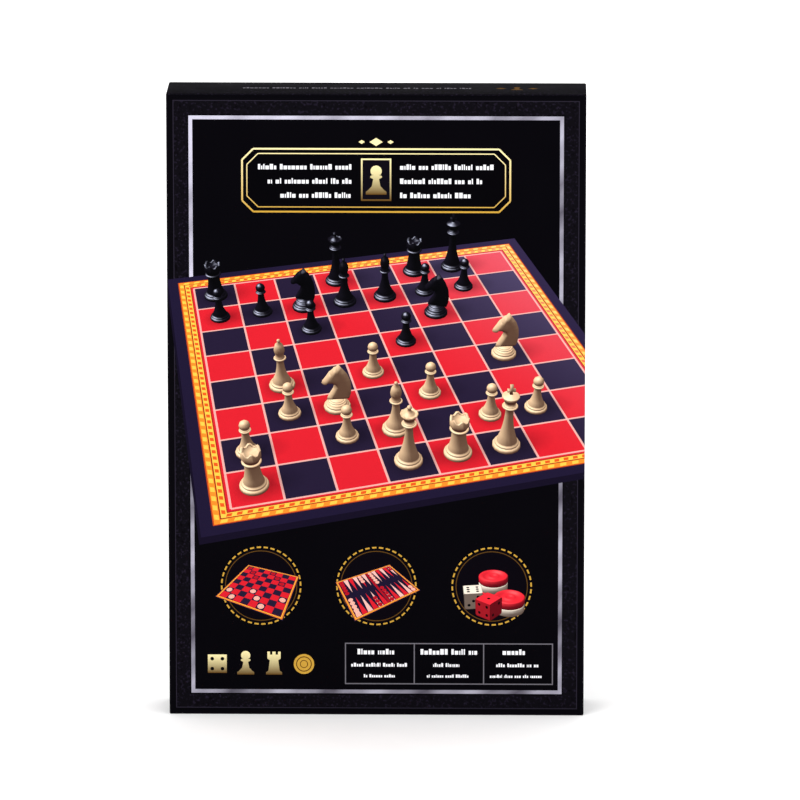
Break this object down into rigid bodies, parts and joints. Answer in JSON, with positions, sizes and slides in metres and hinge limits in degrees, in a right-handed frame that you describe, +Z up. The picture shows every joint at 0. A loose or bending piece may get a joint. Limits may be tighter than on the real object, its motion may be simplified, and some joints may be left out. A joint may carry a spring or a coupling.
{
  "type": "games compendium box",
  "caption": "Upright lift-off-lid game box with moulded trays, chessmen, draughts, dice, a rules sheet and a folding two-sided board.",
  "frame": {"origin": "centre of the lower end of the closed box, on the surface that it stands on", "axes": "+Z up along the box's height, +X to the right as seen from the front, -Y out of the lid's front panel"},
  "size_m": [0.263, 0.045, 0.4],
  "materials": {
    "chipboard": "matt grey-brown chipboard",
    "lid_print": "printed and varnished paper, black with a satin sheen",
    "stay_paper": "gummed brown paper",
    "base_print": "printed and varnished paper, charcoal",
    "tray_plastic": "vacuum-formed sheet with a flocked look",
    "rules_paper": "uncoated white paper",
    "greyboard": "matt greyboard with cut edges",
    "board_print": "printed and laminated paper",
    "spine_cloth": "black book cloth",
    "ivory_plastic": "moulded ivory-coloured plastic",
    "black_plastic": "moulded black plastic",
    "red_plastic": "moulded red plastic"
  },
  "bodies": {
    "base": {"base_card": "chipboard", "base_wrap": "base_print", "base_corner_stays": "stay_paper"},
    "lid": {"lid_card": "chipboard", "lid_wrap": "lid_print", "lid_corner_stays": "stay_paper"},
    "tray": {"centre_tray": "tray_plastic", "left_stack_tray": "tray_plastic", "right_stack_tray": "tray_plastic", "left_upper_riser": "tray_plastic", "left_lower_riser": "tray_plastic", "right_upper_riser": "tray_plastic", "right_lower_riser": "tray_plastic"},
    "ivory_chessmen": {"ivory_king": "ivory_plastic", "ivory_queen": "ivory_plastic", "ivory_bishops": "ivory_plastic", "ivory_knights": "ivory_plastic", "ivory_rooks": "ivory_plastic", "ivory_pawns": "ivory_plastic"},
    "black_chessmen": {"black_king": "black_plastic", "black_queen": "black_plastic", "black_bishops": "black_plastic", "black_knights": "black_plastic", "black_rooks": "black_plastic", "black_pawns": "black_plastic"},
    "red_stack": {"red_draughts": "red_plastic"},
    "black_stack": {"black_draughts": "black_plastic"},
    "dice": {"ivory_dice": "ivory_plastic", "black_dice": "black_plastic", "doubling_cube": "ivory_plastic"},
    "rules": {"rules_sheet": "rules_paper"},
    "board_left": {"board_card_left": "greyboard", "chess_sheet_left": "board_print", "backgammon_sheet_left": "board_print", "spine_tape_left": "spine_cloth"},
    "board_right": {"board_card_right": "greyboard", "chess_sheet_right": "board_print", "backgammon_sheet_right": "board_print", "spine_tape_right": "spine_cloth"}
  },
  "joints": [
    {"name": "lid_pull", "type": "slide", "parent": "base", "child": "lid", "axis": [0, -1, 0], "range_m": [0, 0.9]},
    {"name": "tray_lift", "type": "slide", "parent": "base", "child": "tray", "axis": [0, -1, 0], "range_m": [0, 0.054]},
    {"name": "ivory_chessmen_lift", "type": "slide", "parent": "tray", "child": "ivory_chessmen", "axis": [0, -1, 0], "range_m": [0, 0.072]},
    {"name": "black_chessmen_lift", "type": "slide", "parent": "tray", "child": "black_chessmen", "axis": [0, -1, 0], "range_m": [0, 0.072]},
    {"name": "red_stack_lift", "type": "slide", "parent": "tray", "child": "red_stack", "axis": [0, -1, 0], "range_m": [0, 0.072]},
    {"name": "black_stack_lift", "type": "slide", "parent": "tray", "child": "black_stack", "axis": [0, -1, 0], "range_m": [0, 0.072]},
    {"name": "dice_lift", "type": "slide", "parent": "tray", "child": "dice", "axis": [0, -1, 0], "range_m": [0, 0.072]},
    {"name": "rules_lift", "type": "slide", "parent": "base", "child": "rules", "axis": [0, -1, 0], "range_m": [0, 0.18]},
    {"name": "board_lift", "type": "slide", "parent": "base", "child": "board_left", "axis": [0, -1, 0], "range_m": [0, 0.27]},
    {"name": "board_unfold", "type": "hinge", "parent": "board_left", "child": "board_right", "pos_m": [0.0953, -0.0174, 0.2], "axis": [0, 0, 1], "range_deg": [0, 180]}
  ],
  "couplings": [
    {"joint": "tray_lift", "follows": "lid_pull", "ratio": 0.06},
    {"joint": "ivory_chessmen_lift", "follows": "lid_pull", "ratio": 0.08},
    {"joint": "black_chessmen_lift", "follows": "lid_pull", "ratio": 0.08},
    {"joint": "red_stack_lift", "follows": "lid_pull", "ratio": 0.08},
    {"joint": "black_stack_lift", "follows": "lid_pull", "ratio": 0.08},
    {"joint": "dice_lift", "follows": "lid_pull", "ratio": 0.08},
    {"joint": "rules_lift", "follows": "lid_pull", "ratio": 0.2},
    {"joint": "board_lift", "follows": "lid_pull", "ratio": 0.3},
    {"joint": "board_unfold", "follows": "lid_pull", "rad_per_m": 3.4907}
  ]
}
